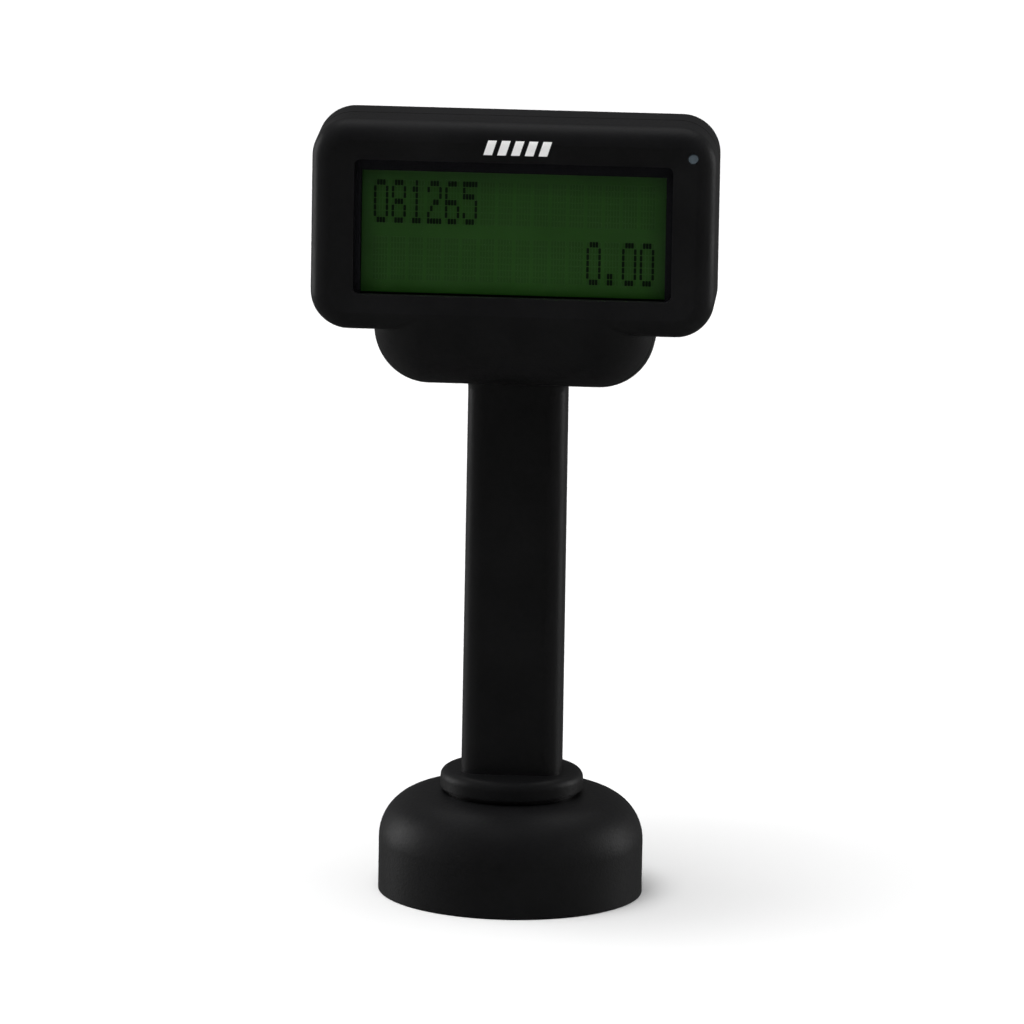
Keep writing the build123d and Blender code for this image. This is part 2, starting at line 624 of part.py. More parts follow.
# ================================================================ head: housing
# Front shell: window, dished frame, screw bosses and the hole of the status light.
with BuildPart() as front_housing:
    add(SHELL)
    split(bisect_by=Plane.XZ.offset(-PARTING_Y), keep=Keep.TOP)
    add(GROOVE, mode=Mode.SUBTRACT)
    with BuildSketch(facing(FACE_Y)):
        RectangleRounded(
            HEAD_WIDTH - 2 * DISH_MARGIN, HEAD_HEIGHT - 2 * DISH_MARGIN, HEAD_CORNER - DISH_MARGIN
        )
    with BuildSketch(facing(FACE_Y + DISH_DEPTH, WINDOW_Z)):
        RectangleRounded(WINDOW_WIDTH, WINDOW_HEIGHT, WINDOW_CORNER)
    loft(ruled=True, mode=Mode.SUBTRACT)
    with BuildSketch(facing(FACE_Y - 1, WINDOW_Z)):
        RectangleRounded(WINDOW_WIDTH, WINDOW_HEIGHT, WINDOW_CORNER)
    extrude(amount=-WALL - 2, mode=Mode.SUBTRACT)
    with Locations(*[facing(PCB_Y, z, x) for x, z in HOUSING_SPOTS + BOARD_SPOTS]):
        Cylinder(
            BOSS_RADIUS,
            PCB_Y - FACE_Y - WALL + 0.4,
            align=(Align.CENTER, Align.CENTER, Align.MIN),
        )
    with Locations(*[facing(PCB_Y, z, x) for x, z in HOUSING_SPOTS]):
        Cylinder(HOUSING_PILOT, 2 * HOUSING_PILOT_DEPTH, mode=Mode.SUBTRACT)
    with Locations(*[facing(PCB_Y, z, x) for x, z in BOARD_SPOTS]):
        Cylinder(PCB_PILOT, 2 * PCB_PILOT_DEPTH, mode=Mode.SUBTRACT)
    with Locations(facing(FACE_Y, LED_Z, LED_X)):
        Cylinder(LIGHT_PIPE_RADIUS, 4 * WALL, mode=Mode.SUBTRACT)
save(front_housing, "front_housing")

# Rear shell: screw wells, vents, pads for the hinge bracket and the slot that the pole enters by.
with BuildPart() as rear_posts:
    with Locations(*[backing(PCB_Y, z, x) for x, z in HOUSING_SPOTS]):
        Cylinder(BOSS_RADIUS, -PCB_Y, align=(Align.CENTER, Align.CENTER, Align.MIN))
    with Locations(*[backing(SCREW_SEAT_Y - SCREW_SEAT_THICKNESS, z, x) for x, z in HOUSING_SPOTS]):
        Cylinder(WELL_RADIUS, -SCREW_SEAT_Y, align=(Align.CENTER, Align.CENTER, Align.MIN))
    add(head_form(WALL / 2), mode=Mode.INTERSECT)

with BuildPart() as rear_housing:
    add(SHELL)
    split(bisect_by=Plane.XZ.offset(-PARTING_Y), keep=Keep.BOTTOM)
    add(GROOVE, mode=Mode.SUBTRACT)
    add(rear_posts.part)
    with Locations(*[backing(SCREW_SEAT_Y, z, x) for x, z in HOUSING_SPOTS]):
        Cylinder(
            WELL_BORE,
            HEAD_DEPTH,
            align=(Align.CENTER, Align.CENTER, Align.MIN),
            mode=Mode.SUBTRACT,
        )
        Cylinder(SCREW_CLEARANCE, HEAD_DEPTH, mode=Mode.SUBTRACT)
    with Locations(*[backing(BRACKET_REAR_Y, z, x) for x, z in BRACKET_SPOTS]):
        Cylinder(BRACKET_PAD_RADIUS, BRACKET_PAD + 0.4, align=(Align.CENTER, Align.CENTER, Align.MIN))
        Cylinder(HOUSING_PILOT, 3 * BRACKET_PAD, mode=Mode.SUBTRACT)
    with Locations((0, SLOT_FRONT_Y, POD_BOTTOM_Z - 1)):
        Box(
            2 * SLOT_HALF,
            40,
            SLOT_TOP_Z - POD_BOTTOM_Z + 1,
            align=(Align.CENTER, Align.MIN, Align.MIN),
            mode=Mode.SUBTRACT,
        )
    with BuildSketch(backing(REAR_Y, VENT_Z)):
        for side in (-1, 1):
            with Locations((side * VENT_X, 0)):
                with GridLocations(VENT_PITCH, 1, VENT_COUNT, 1):
                    SlotOverall(VENT_LENGTH, VENT_WIDTH, rotation=90)
    extrude(amount=-2 * WALL, mode=Mode.SUBTRACT)
save(rear_housing, "rear_housing")

with BuildPart() as housing_screws:
    with Locations(*[backing(SCREW_SEAT_Y, z, x) for x, z in HOUSING_SPOTS]):
        add(cross_screw(*HOUSING_SCREW))
save(housing_screws, "housing_screws")

# ================================================================ head: display
with BuildPart() as lens_tape:
    with BuildSketch(facing(LENS_Y, WINDOW_Z)):
        Rectangle(LENS_WIDTH, LENS_HEIGHT)
        Rectangle(WINDOW_WIDTH + 0.4, WINDOW_HEIGHT + 0.4, mode=Mode.SUBTRACT)
    extrude(amount=TAPE)
save(lens_tape, "lens_tape")

with BuildPart() as window_lens:
    with BuildSketch(facing(GASKET_Y, WINDOW_Z)):
        RectangleRounded(LENS_WIDTH, LENS_HEIGHT, 1.0)
    extrude(amount=LENS_THICKNESS)
save(window_lens, "window_lens")

with BuildPart() as display_gasket:
    with BuildSketch(facing(CELL_Y, WINDOW_Z)):
        Rectangle(LENS_WIDTH - 0.6, LENS_HEIGHT - 0.6)
        Rectangle(WINDOW_WIDTH, WINDOW_HEIGHT, mode=Mode.SUBTRACT)
    extrude(amount=GASKET)
save(display_gasket, "display_gasket")

# Steel frame pressed over the display: its tabs pass through the board and are bent over behind it.
with BuildPart() as display_frame:
    with BuildSketch(facing(PCB_Y, CELL_Z)):
        Rectangle(CELL_FRAME_WIDTH, CELL_FRAME_HEIGHT)
    extrude(amount=PCB_Y - CELL_Y)
    with BuildSketch(facing(PCB_Y, CELL_Z)):
        Rectangle(CELL_FRAME_WIDTH - 2 * SHEET, CELL_FRAME_HEIGHT - 2 * SHEET)
    extrude(amount=PCB_Y - CELL_Y - SHEET, mode=Mode.SUBTRACT)
    with BuildSketch(facing(PCB_Y, VIEW_Z)):
        Rectangle(VIEW_WIDTH, VIEW_HEIGHT)
    extrude(amount=PCB_Y - CELL_Y + 1, mode=Mode.SUBTRACT)
    for side in (-1, 1):
        edge = side * (CELL_FRAME_HEIGHT - SHEET) / 2
        with BuildSketch(backing(PCB_Y - 0.5, CELL_Z)):
            with Locations(*[(x, edge) for x in TAB_X]):
                Rectangle(TAB_WIDTH, SHEET)
        extrude(amount=PCB_THICKNESS + 0.5 + SHEET)
        with BuildSketch(backing(PCB_REAR_Y, CELL_Z)):
            with Locations(*[(x, edge - side * TAB_FOLD / 2) for x in TAB_X]):
                Rectangle(TAB_WIDTH, TAB_FOLD + SHEET)
        extrude(amount=SHEET)
save(display_frame, "display_frame")

# The liquid-crystal cell: two glasses between two polarisers.
with BuildPart() as front_polariser:
    with BuildSketch(facing(FRONT_GLASS_Y, CELL_Z)):
        Rectangle(GLASS_WIDTH - 1.0, REAR_GLASS_HEIGHT - 0.6)
    extrude(amount=POLARISER)
save(front_polariser, "front_polariser")

with BuildPart() as front_glass:
    with BuildSketch(facing(REAR_GLASS_Y, CELL_Z)):
        Rectangle(GLASS_WIDTH, FRONT_GLASS_HEIGHT)
    extrude(amount=GLASS)
save(front_glass, "front_glass")

with BuildPart() as rear_glass:
    with BuildSketch(facing(REAR_POLARISER_Y, CELL_Z)):
        Rectangle(GLASS_WIDTH, REAR_GLASS_HEIGHT)
    extrude(amount=GLASS)
save(rear_glass, "rear_glass")

with BuildPart() as rear_polariser:
    with BuildSketch(facing(BACKLIGHT_Y, CELL_Z)):
        Rectangle(GLASS_WIDTH - 1.0, REAR_GLASS_HEIGHT - 0.6)
    extrude(amount=POLARISER)
save(rear_polariser, "rear_polariser")

with BuildPart() as backlight:
    with BuildSketch(facing(PCB_Y, CELL_Z)):
        Rectangle(GLASS_WIDTH, REAR_GLASS_HEIGHT - 0.4)
    extrude(amount=BACKLIGHT_THICKNESS)
    chamfer(backlight.faces().sort_by(Axis.Y)[-1].edges(), 0.5)
save(backlight, "backlight")

# Rubber strips that carry the board's signals to the ledges of the front glass.
with BuildPart() as contact_strips:
    with BuildSketch(facing(PCB_Y, CELL_Z)):
        with GridLocations(0, REAR_GLASS_HEIGHT + 2 * STRIP_GAP, 1, 2):
            Rectangle(STRIP_LENGTH, STRIP_THICKNESS)
    extrude(amount=PCB_Y - REAR_GLASS_Y)
save(contact_strips, "contact_strips")

# ================================================================ head: electronics
with BuildPart() as display_board:
    with BuildSketch(facing(PCB_REAR_Y, (PCB_BOTTOM_Z + PCB_TOP_Z) / 2)):
        RectangleRounded(PCB_WIDTH, PCB_TOP_Z - PCB_BOTTOM_Z, PCB_CORNER)
    extrude(amount=PCB_THICKNESS)
    with BuildSketch(facing(PCB_REAR_Y, 0)):
        with Locations(*HOUSING_SPOTS):
            Circle(BOSS_NOTCH)
        with Locations(*[(side * (BOSS_X + BOSS_NOTCH), z) for side, z in both_sides(1, HOUSING_SCREW_Z)]):
            Rectangle(2 * BOSS_NOTCH, 2 * BOSS_NOTCH)
        with Locations(*[(side * (BOSS_X + BOSS_NOTCH / 2), PCB_BOTTOM_Z) for side in (-1, 1)]):
            Rectangle(3 * BOSS_NOTCH, 2 * (HOUSING_SCREW_Z[0] - PCB_BOTTOM_Z))
    extrude(amount=2 * PCB_THICKNESS, both=True, mode=Mode.SUBTRACT)
    with Locations(*[facing(PCB_Y, z, x) for x, z in BOARD_SPOTS]):
        Cylinder(PCB_PILOT + 0.15, 4 * PCB_THICKNESS, mode=Mode.SUBTRACT)
    with BuildSketch(facing(PCB_REAR_Y, CELL_Z)):
        with Locations(*[(x, side * (CELL_FRAME_HEIGHT - SHEET) / 2) for side in (-1, 1) for x in TAB_X]):
            Rectangle(TAB_WIDTH + SHEET, 2 * SHEET)
    extrude(amount=2 * PCB_THICKNESS, both=True, mode=Mode.SUBTRACT)
save(display_board, "display_board")

# Two driver chips on the back of the board, each with its gull-wing legs.
with BuildPart() as driver_chips:
    with BuildSketch(backing(PCB_REAR_Y + FIT_GAP, WINDOW_Z)):
        with Locations((-CHIP_X, 0), (CHIP_X, 0)):
            Rectangle(CHIP_SIZE, CHIP_SIZE)
    extrude(amount=CHIP_THICKNESS)
    with BuildSketch(backing(PCB_REAR_Y, WINDOW_Z)):
        with Locations((-CHIP_X, 0), (CHIP_X, 0)):
            with GridLocations(LEG_PITCH, CHIP_SIZE + 1.0, CHIP_LEGS, 2):
                Rectangle(LEG_WIDTH, LEG_LENGTH)
            with GridLocations(CHIP_SIZE + 1.0, LEG_PITCH, 2, CHIP_LEGS):
                Rectangle(LEG_LENGTH, LEG_WIDTH)
    extrude(amount=0.3)
save(driver_chips, "driver_chips")

with BuildPart() as board_header:
    with BuildSketch(backing(PCB_REAR_Y, HEADER_Z)):
        Rectangle(HEADER_WIDTH, HEADER_HEIGHT)
    extrude(amount=HEADER_DEPTH)
    with BuildSketch(backing(PCB_REAR_Y + HEADER_FLOOR, HEADER_Z)):
        Rectangle(HEADER_WIDTH - 2 * HEADER_WALL, HEADER_HEIGHT - 2 * HEADER_WALL)
    extrude(amount=HEADER_DEPTH, mode=Mode.SUBTRACT)
save(board_header, "board_header")

with BuildPart() as lead_plug:
    plug_inset = 2 * (HEADER_WALL + PLUG_GAP)
    with BuildSketch(backing(PCB_REAR_Y + PLUG_START, HEADER_Z)):
        Rectangle(HEADER_WIDTH - plug_inset, HEADER_HEIGHT - plug_inset)
    extrude(amount=PLUG_REAR_Y - PCB_REAR_Y - PLUG_START)
    fillet(lead_plug.faces().sort_by(Axis.Y)[-1].edges(), 0.5)
save(lead_plug, "lead_plug")

# The lead in the head: a ball on the tilt axis, a rise, and a bend into the plug.
LEAD_BEND = HEADER_Z - TILT_Z - 4.4
with BuildPart() as head_lead:
    with Locations((0, 0, TILT_Z)):
        Sphere(LEAD_RADIUS)
    with BuildLine() as lead_route:
        FilletPolyline((0, 0, TILT_Z), (0, 0, HEADER_Z), (0, PLUG_REAR_Y, HEADER_Z), radius=LEAD_BEND)
    with BuildSketch(Plane.XY.offset(TILT_Z)):
        Circle(LEAD_RADIUS)
    sweep(path=lead_route.line)
save(head_lead, "head_lead")

# Status light: a small lamp on the board and the clear rod that carries it to the face.
with BuildPart() as status_led:
    with BuildSketch(facing(PCB_Y, LED_Z, LED_X)):
        Rectangle(LED_WIDTH, LED_HEIGHT)
    extrude(amount=LED_DEPTH)
save(status_led, "status_led")

with BuildPart() as light_pipe:
    with BuildSketch(facing(PCB_Y - LED_DEPTH - FIT_GAP, LED_Z, LED_X)):
        Circle(LIGHT_PIPE_RADIUS)
    extrude(amount=PCB_Y - LED_DEPTH - 2 * FIT_GAP - FACE_Y)
    fillet(light_pipe.edges().sort_by(Axis.Y)[0], LIGHT_PIPE_ROUND)
save(light_pipe, "light_pipe")

with BuildPart() as board_screws:
    with Locations(*[backing(PCB_REAR_Y, z, x) for x, z in BOARD_SPOTS]):
        add(cross_screw(*BOARD_SCREW))
save(board_screws, "board_screws")

# ================================================================ head: tilt hinge
# Steel bracket: a plate on the rear shell's pads, and two ears that reach down to the tilt axis.
with BuildPart() as tilt_bracket:
    with BuildSketch(facing(BRACKET_REAR_Y, (BRACKET_TOP_Z + BRACKET_BOTTOM_Z) / 2)):
        Rectangle(2 * EAR_OUTER, BRACKET_TOP_Z - BRACKET_BOTTOM_Z)
    extrude(amount=BRACKET)
    for x in (-EAR_OUTER, EAR_INNER):
        with BuildSketch(across(x, 0, 0)) as ear:
            with BuildLine():
                Polyline(
                    (BRACKET_FRONT_Y, EAR_ROOT_Z),
                    (BRACKET_FRONT_Y, BRACKET_BOTTOM_Z),
                    (BRACKET_REAR_Y, BRACKET_BOTTOM_Z),
                    (0, TILT_Z),
                    close=True,
                )
            make_face()
            with Locations((0, TILT_Z)):
                Circle(EAR_RADIUS)
            make_hull()
            with Locations(((BRACKET_FRONT_Y + BRACKET_REAR_Y) / 2, BRACKET_BOTTOM_Z + 1)):
                Rectangle(BRACKET, 6)
        extrude(amount=BRACKET)
    with BuildSketch(across(-2 * EAR_OUTER)):
        Circle(PIN_RADIUS)
    extrude(amount=4 * EAR_OUTER, mode=Mode.SUBTRACT)
    with Locations(*[backing(BRACKET_REAR_Y, z, x) for x, z in BRACKET_SPOTS]):
        Cylinder(BRACKET_HOLE, 4 * BRACKET, mode=Mode.SUBTRACT)
save(tilt_bracket, "tilt_bracket")

with BuildPart() as bracket_screws:
    with Locations(*[facing(BRACKET_FRONT_Y, z, x) for x, z in BRACKET_SPOTS]):
        add(cross_screw(*BRACKET_SCREW))
save(bracket_screws, "bracket_screws")

# Two stub pins, one in each ear and cheek, so that the lead has the middle to itself.
with BuildPart() as pivot_pins:
    for side in (-1, 1):
        outward = Plane(origin=(side * EAR_OUTER, 0, TILT_Z), z_dir=(side, 0, 0))
        with Locations(outward):
            Cylinder(PIN_HEAD_RADIUS, PIN_HEAD, align=(Align.CENTER, Align.CENTER, Align.MIN))
            Cylinder(PIN_RADIUS, EAR_OUTER - PIN_END, align=(Align.CENTER, Align.CENTER, Align.MAX))
        groove = Plane(origin=(side * (CHEEK_INNER - FIT_GAP), 0, TILT_Z), z_dir=(-side, 0, 0))
        with BuildSketch(groove):
            Circle(PIN_RADIUS + 1)
            Circle(PIN_NECK_RADIUS, mode=Mode.SUBTRACT)
        extrude(amount=CLIP_THICKNESS, mode=Mode.SUBTRACT)
save(pivot_pins, "pivot_pins")

with BuildPart() as pin_clips:
    for side in (-1, 1):
        seat = Plane(origin=(side * (CHEEK_INNER - FIT_GAP), 0, TILT_Z), x_dir=(0, 1, 0), z_dir=(-side, 0, 0))
        with BuildSketch(seat):
            Circle(CLIP_RADIUS)
            Circle(PIN_NECK_RADIUS, mode=Mode.SUBTRACT)
            with Locations((CLIP_RADIUS, 0)):
                Rectangle(2 * CLIP_RADIUS, 2 * (PIN_NECK_RADIUS - 0.2), mode=Mode.SUBTRACT)
        extrude(amount=CLIP_THICKNESS)
save(pin_clips, "pin_clips")

# What holds the tilt: a plain washer on the left and a disc spring on the right.
with BuildPart() as friction_washer:
    with BuildSketch(across(-EAR_INNER)):
        Circle(EAR_RADIUS)
        Circle(PIN_RADIUS + RUNNING_GAP, mode=Mode.SUBTRACT)
    extrude(amount=SLOT_GAP)
save(friction_washer, "friction_washer")

with BuildPart() as tilt_spring:
    with Locations(across(CHEEK_OUTER)):
        add(disc_spring(PIN_RADIUS + RUNNING_GAP, EAR_RADIUS, TILT_SPRING_SHEET, SLOT_GAP))
save(tilt_spring, "tilt_spring")
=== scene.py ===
import json
import math

import bmesh
import bpy
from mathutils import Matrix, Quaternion, Vector
from mathutils.bvhtree import BVHTree


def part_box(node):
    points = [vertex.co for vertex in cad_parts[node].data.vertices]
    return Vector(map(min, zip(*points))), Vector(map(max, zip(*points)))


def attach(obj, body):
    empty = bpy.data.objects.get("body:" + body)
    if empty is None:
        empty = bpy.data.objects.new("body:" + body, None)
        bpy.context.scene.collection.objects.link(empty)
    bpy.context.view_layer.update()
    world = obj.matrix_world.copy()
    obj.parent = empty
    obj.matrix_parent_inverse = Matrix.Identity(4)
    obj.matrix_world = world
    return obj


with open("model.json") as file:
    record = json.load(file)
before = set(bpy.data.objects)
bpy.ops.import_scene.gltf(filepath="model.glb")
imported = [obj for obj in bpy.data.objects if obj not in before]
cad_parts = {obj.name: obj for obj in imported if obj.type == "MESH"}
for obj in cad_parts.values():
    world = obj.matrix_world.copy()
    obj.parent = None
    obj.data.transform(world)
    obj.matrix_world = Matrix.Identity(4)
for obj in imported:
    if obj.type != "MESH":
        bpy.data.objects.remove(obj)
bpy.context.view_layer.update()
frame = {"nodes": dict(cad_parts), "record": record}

# Looks of the customer pole display. Metres, +Z up; the display faces -Y.
MM = 0.001

# ---------------------------------------------------------------- places that the frame gives
HEAD_LOW, HEAD_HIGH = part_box("front_housing")
HEAD_TOP = HEAD_HIGH.z
FACE_Y = HEAD_LOW.y
CELL_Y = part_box("front_polariser")[0].y
LENS_FRONT_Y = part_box("window_lens")[0].y
# the window's clear view: its top sits low, so the black border above it also paints the shade under the
# bezel's upper edge
VIEW_CENTRE_Z = HEAD_TOP - 21.4 * MM
VIEW_WIDTH = 56.5 * MM
VIEW_HEIGHT = 23.8 * MM

# ---------------------------------------------------------------- colours, linear
BLACK_PLASTIC = (0.0052, 0.0052, 0.0056)
# paler black of the edges: rubbing wear and a painted highlight
BLACK_PLASTIC_RUBBED_AND_HIGHLIT = (0.013, 0.013, 0.0135)
# the cell's green as a copy under painted shade and a painted-lit copy; the backlight under painted shade and
# at full
CELL_GREEN_PAINTED_SHADE = (0.022, 0.062, 0.012)
CELL_GREEN_PAINTED_LIT = (0.050, 0.150, 0.024)
BACKLIT_UNDER_PAINTED_SHADE = (0.0006, 0.0022, 0.0004)
BACKLIT_BRIGHT = (0.0052, 0.0202, 0.0027)
DOT_ON = (0.004, 0.013, 0.003)
GHOST_SHARE = 0.86
INK_WHITE = (0.86, 0.86, 0.85)


# ================================================================ camera
EYE_AZIMUTH = math.radians(3.3)
EYE_ELEVATION = math.radians(10.4)
EYE_ROLL = math.radians(1.0)
EYE_DISTANCE = 2.06
EYE_FROM_TOP = 19 * MM  # the eye's distance runs from a point this far below the head's top
LENS_MM = 392.0


def make_camera():
    """A camera two metres away, a little above, and almost square to the face."""
    back = Vector((
        math.sin(EYE_AZIMUTH) * math.cos(EYE_ELEVATION),
        -math.cos(EYE_AZIMUTH) * math.cos(EYE_ELEVATION),
        math.sin(EYE_ELEVATION),
    ))
    camera = bpy.data.objects.new("camera", bpy.data.cameras.new("camera"))
    bpy.context.collection.objects.link(camera)
    camera.location = Vector((0, FACE_Y, HEAD_TOP - EYE_FROM_TOP)) + back * EYE_DISTANCE
    target = Vector((0, FACE_Y / 2, HEAD_TOP / 2))
    look = (target - camera.location).to_track_quat("-Z", "Y")
    camera.rotation_mode = "QUATERNION"
    camera.rotation_quaternion = look @ Quaternion((0, 0, 1), EYE_ROLL)
    camera.data.lens = LENS_MM
    camera.data.clip_start = 0.1
    camera.data.clip_end = 60.0
    bpy.context.scene.camera = camera


# ================================================================ shader building blocks
NOISE_RANGE = (0.3, 0.7)  # where nearly all values of a noise lie
BEVEL_SAMPLES = 4


class Shader:
    """A material with one Principled shader, and short ways to add the nodes that drive it."""

    def __init__(self, name, colour, roughness, **fixed):
        self.material = bpy.data.materials.new(name)
        self.material.use_nodes = True
        self.tree = self.material.node_tree
        self.principled = self.tree.nodes["Principled BSDF"]
        self.output = self.tree.nodes["Material Output"]
        self.principled.inputs["Base Color"].default_value = (*colour, 1)
        self.principled.inputs["Roughness"].default_value = roughness
        for socket, value in fixed.items():
            self.principled.inputs[socket.replace("_", " ")].default_value = value
        self.place = self.node("ShaderNodeTexCoord").outputs["Object"]

    def node(self, kind, **settings):
        made = self.tree.nodes.new(kind)
        for name, value in settings.items():
            setattr(made, name, value)
        return made

    def link(self, source, target):
        self.tree.links.new(source, target)

    def stretched(self, scale, turn=(0, 0, 0)):
        """Object coordinates scaled along each axis, for grain that runs one way."""
        mapping = self.node("ShaderNodeMapping")
        mapping.inputs["Scale"].default_value = scale
        mapping.inputs["Rotation"].default_value = turn
        self.link(self.place, mapping.inputs["Vector"])
        return mapping.outputs["Vector"]

    def noise(self, size, detail=2.0, roughness=0.5, place=None):
        """Noise whose features are about size metres across."""
        made = self.node("ShaderNodeTexNoise")
        made.inputs["Scale"].default_value = 1 / size
        made.inputs["Detail"].default_value = detail
        made.inputs["Roughness"].default_value = roughness
        self.link(place or self.place, made.inputs["Vector"])
        return made.outputs["Fac"]

    def cells(self, size, feature="F1"):
        """Distance to the nearest point of a scatter about size metres apart."""
        made = self.node("ShaderNodeTexVoronoi", feature=feature)
        made.inputs["Scale"].default_value = 1 / size
        self.link(self.place, made.inputs["Vector"])
        return made.outputs["Distance"]

    def span(self, value, low, high, to_low=0.0, to_high=1.0):
        """value's range from low to high, moved to another range and held inside it."""
        made = self.node("ShaderNodeMapRange")
        for socket, number in zip(("From Min", "From Max", "To Min", "To Max"), (low, high, to_low, to_high)):
            made.inputs[socket].default_value = number
        self.link(value, made.inputs["Value"])
        return made.outputs["Result"]

    def vary(self, noise, to_low=0.0, to_high=1.0):
        """A noise spread over another range."""
        return self.span(noise, *NOISE_RANGE, to_low, to_high)

    def maths(self, operation, a, b=None):
        made = self.node("ShaderNodeMath", operation=operation)
        for socket, value in zip(made.inputs, (a, b)):
            if value is None:
                continue
            if isinstance(value, (int, float)):
                socket.default_value = value
            else:
                self.link(value, socket)
        return made.outputs["Value"]

    def mix(self, share, a, b):
        """Colour a where share is 0 and b where it is 1."""
        made = self.node("ShaderNodeMix", data_type="RGBA")
        self.link(share, made.inputs["Factor"])
        for index, value in ((6, a), (7, b)):
            if isinstance(value, tuple):
                made.inputs[index].default_value = (*value, 1)
            else:
                self.link(value, made.inputs[index])
        return made.outputs[2]

    def axes(self):
        """The object coordinates' x, y and z."""
        made = self.node("ShaderNodeSeparateXYZ")
        self.link(self.place, made.inputs["Vector"])
        return made.outputs

    def edges(self, radius):
        """0 on flat stretches, up to 1 on the edges that a rounding of radius would touch."""
        rounded = self.node("ShaderNodeBevel", samples=BEVEL_SAMPLES)
        rounded.inputs["Radius"].default_value = radius
        match = self.node("ShaderNodeVectorMath", operation="DOT_PRODUCT")
        self.link(rounded.outputs["Normal"], match.inputs[0])
        self.link(self.node("ShaderNodeNewGeometry").outputs["Normal"], match.inputs[1])
        return self.span(match.outputs["Value"], 0.995, 0.85)

    def bumps(self, height, depth, under=None):
        """Relief of that depth in metres."""
        made = self.node("ShaderNodeBump")
        made.inputs["Strength"].default_value = 1.0
        made.inputs["Distance"].default_value = depth
        self.link(height, made.inputs["Height"])
        if under is not None:
            self.link(under, made.inputs["Normal"])
        return made.outputs["Normal"]

    def soft_edges(self, radius):
        """A normal that rounds the sharp edges of a CAD solid by radius."""
        made = self.node("ShaderNodeBevel", samples=BEVEL_SAMPLES)
        made.inputs["Radius"].default_value = radius
        return made.outputs["Normal"]

    def drive(self, **sources):
        for socket, source in sources.items():
            self.link(source, self.principled.inputs[socket.replace("_", " ")])


# ================================================================ materials, one function per finish
ROLLING = (1, 1, 14)  # stretch of a rolled sheet's lines
DULLED = 0.712
BRIGHTENED = 1.25
ACRYLIC_IOR = 1.49
LENS_SKIN = 0.1 * MM  # how far behind its foremost point the window's front face is looked for


def moulded_black(name, grain=0.32 * MM, relief=0.028 * MM, roughness=(0.40, 0.50)):
    """Spark-textured black ABS: pebbled grain, slow changes of gloss, edges painted paler as rubbing wear and
    as a painted highlight.
    """
    s = Shader(name, BLACK_PLASTIC, sum(roughness) / 2, Specular_IOR_Level=0.34)
    pebbles = s.noise(grain, detail=3.0, roughness=0.62)
    pits = s.cells(grain * 1.7, "SMOOTH_F1")
    handled = s.noise(14 * MM, detail=3.0)
    speckle = s.noise(0.9 * MM, detail=4.0, roughness=0.7)
    # edges painted paler: partly rubbing wear, partly a painted highlight
    rubbed_and_highlit_edges = s.maths("MULTIPLY", s.edges(0.35 * MM), s.span(speckle, 0.35, 0.7, 0.25, 1.0))
    base = s.mix(s.span(handled, 0.35, 0.7), BLACK_PLASTIC, tuple(c * 1.35 for c in BLACK_PLASTIC))
    height = s.maths("ADD", pebbles, s.maths("MULTIPLY", pits, 0.6))
    dullness = s.span(speckle, 0.3, 0.75, -0.03, 0.05)
    s.drive(
        Base_Color=s.mix(s.maths("MULTIPLY", rubbed_and_highlit_edges, 0.6), base, BLACK_PLASTIC_RUBBED_AND_HIGHLIT),
        Roughness=s.maths("ADD", s.vary(handled, *roughness), dullness),
        Normal=s.bumps(height, relief, under=s.soft_edges(0.22 * MM)),
    )
    return s.material


def sheet_metal(name, colour, roughness):
    """Plated sheet: fine rolling lines, cloudy plating and brighter sheared edges."""
    s = Shader(name, colour, roughness, Metallic=1.0)
    lines = s.noise(0.5 * MM, detail=3.0, place=s.stretched(ROLLING))
    clouds = s.noise(4 * MM, detail=4.0)
    dull = tuple(c * DULLED for c in colour)
    bright = tuple(min(1.0, c * BRIGHTENED) for c in colour)
    base = s.mix(s.vary(clouds), colour, dull)
    cloudy = s.vary(clouds, roughness - 0.06, roughness + 0.1)
    s.drive(
        Base_Color=s.mix(s.edges(0.2 * MM), base, bright),
        Roughness=s.maths("ADD", cloudy, s.vary(lines, -0.04, 0.04)),
        Normal=s.bumps(lines, 0.006 * MM, under=s.soft_edges(0.15 * MM)),
    )
    return s.material


def soft_rubber(name, colour, relief=0.02 * MM, roughness=0.75):
    """Foam, sheath or silicone: dull, with a fine open grain."""
    s = Shader(name, colour, roughness)
    pores = s.cells(0.25 * MM)
    patches = s.noise(3 * MM, detail=3.0)
    s.drive(
        Base_Color=s.mix(s.vary(patches), colour, tuple(c * 1.5 for c in colour)),
        Roughness=s.vary(patches, roughness - 0.08, roughness + 0.08),
        Normal=s.bumps(pores, relief),
    )
    return s.material


def pale_nylon(name, colour):
    """Natural nylon: milky, slightly mottled, with flow marks from the mould."""
    roughness = 0.42
    s = Shader(name, colour, roughness, Subsurface_Weight=0.12, Subsurface_Scale=0.4 * MM)
    flow = s.noise(2.2 * MM, detail=4.0, place=s.stretched((1, 1, 3)))
    s.drive(
        Base_Color=s.mix(s.vary(flow), colour, tuple(c * 0.86 for c in colour)),
        Roughness=s.vary(flow, roughness - 0.06, roughness + 0.08),
        Normal=s.bumps(flow, 0.01 * MM, under=s.soft_edges(0.12 * MM)),
    )
    return s.material


